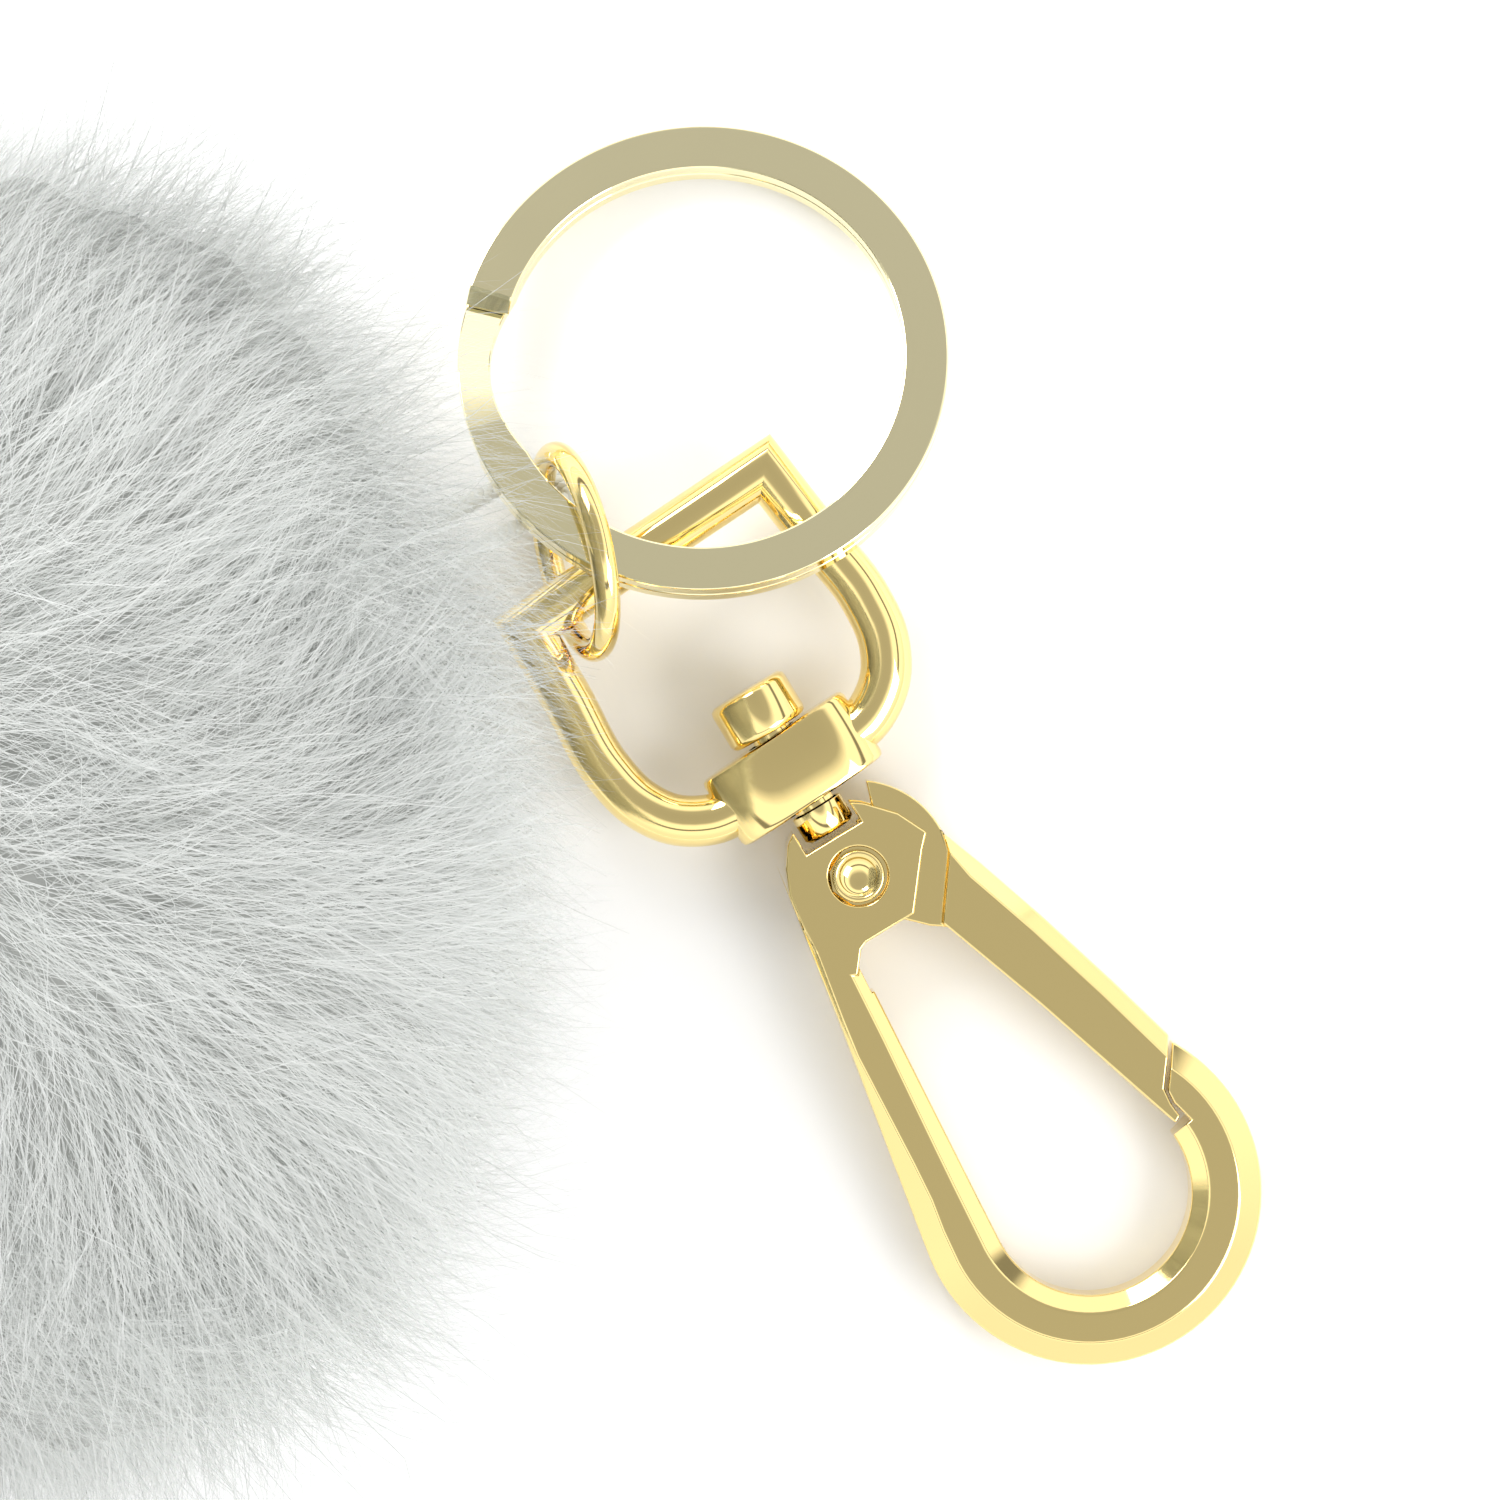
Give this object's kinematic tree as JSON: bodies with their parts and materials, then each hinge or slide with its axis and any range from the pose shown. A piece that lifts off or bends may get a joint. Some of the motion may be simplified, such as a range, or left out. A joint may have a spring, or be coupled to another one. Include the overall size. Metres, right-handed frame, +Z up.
{
  "type": "plush keychain",
  "caption": "Fluffy plush ball on a cord loop, with a jump ring, a flat split key ring and a swivel snap hook with a D-shaped bail.",
  "frame": {"origin": "centre of the bounding box's bottom, on the table", "axes": "+Z up from the table, +X from the ball towards the hook, +Y towards the key ring"},
  "size_m": [0.1188, 0.0813, 0.0755],
  "materials": {
    "fur": "long soft pile",
    "stuffing": "loose fibre",
    "cord": "woven cord",
    "anchor_plastic": "matte",
    "gold_plate": "polished",
    "gold_steel": "polished gold plate",
    "spring_steel": "bright"
  },
  "bodies": {
    "plush": {"fur_cover": "fur", "stuffing": "stuffing", "loop_anchor": "anchor_plastic", "loop_knot": "cord", "gather_thread": "cord"},
    "ring_link": {"hang_loop": "cord", "jump_ring": "gold_plate"},
    "split_ring": {"key_ring": "gold_steel"},
    "bail": {"swivel_bail": "gold_plate"},
    "hook": {"hook_body": "gold_plate", "gate_pin": "gold_steel", "gate_spring": "spring_steel", "swivel_post": "gold_plate"},
    "gate_lever": {"gate": "gold_plate"}
  },
  "joints": [
    {"name": "loop_swing", "type": "hinge", "parent": "plush", "child": "ring_link", "pos_m": [-0.00682, 0.00571, 0.02353], "axis": [0.4914, -0.8709, 0], "range_deg": [0, 40]},
    {"name": "key_ring_flip", "type": "hinge", "parent": "ring_link", "child": "split_ring", "pos_m": [0.01737, 0.01471, 0.00865], "axis": [0.8398, -0.5167, 0.1669], "range_deg": [0, 65]},
    {"name": "bail_turn", "type": "hinge", "parent": "ring_link", "child": "bail", "pos_m": [0.01712, 0.01146, 0.00496], "axis": [0, 0, 1], "range_deg": [-30, 0]},
    {"name": "hook_swivel", "type": "hinge", "parent": "bail", "child": "hook", "pos_m": [0.03444, -0.00591, 0.00382], "axis": [-0.5189, 0.8535, 0.0476], "continuous": true},
    {"name": "gate_pivot", "type": "hinge", "parent": "hook", "child": "gate_lever", "pos_m": [0.03444, -0.00591, 0.00382], "axis": [0.0247, -0.0407, 0.9989], "range_deg": [-25, 0], "stiffness_Nm_per_rad": 0.05, "springref_deg": 11.46}
  ]
}
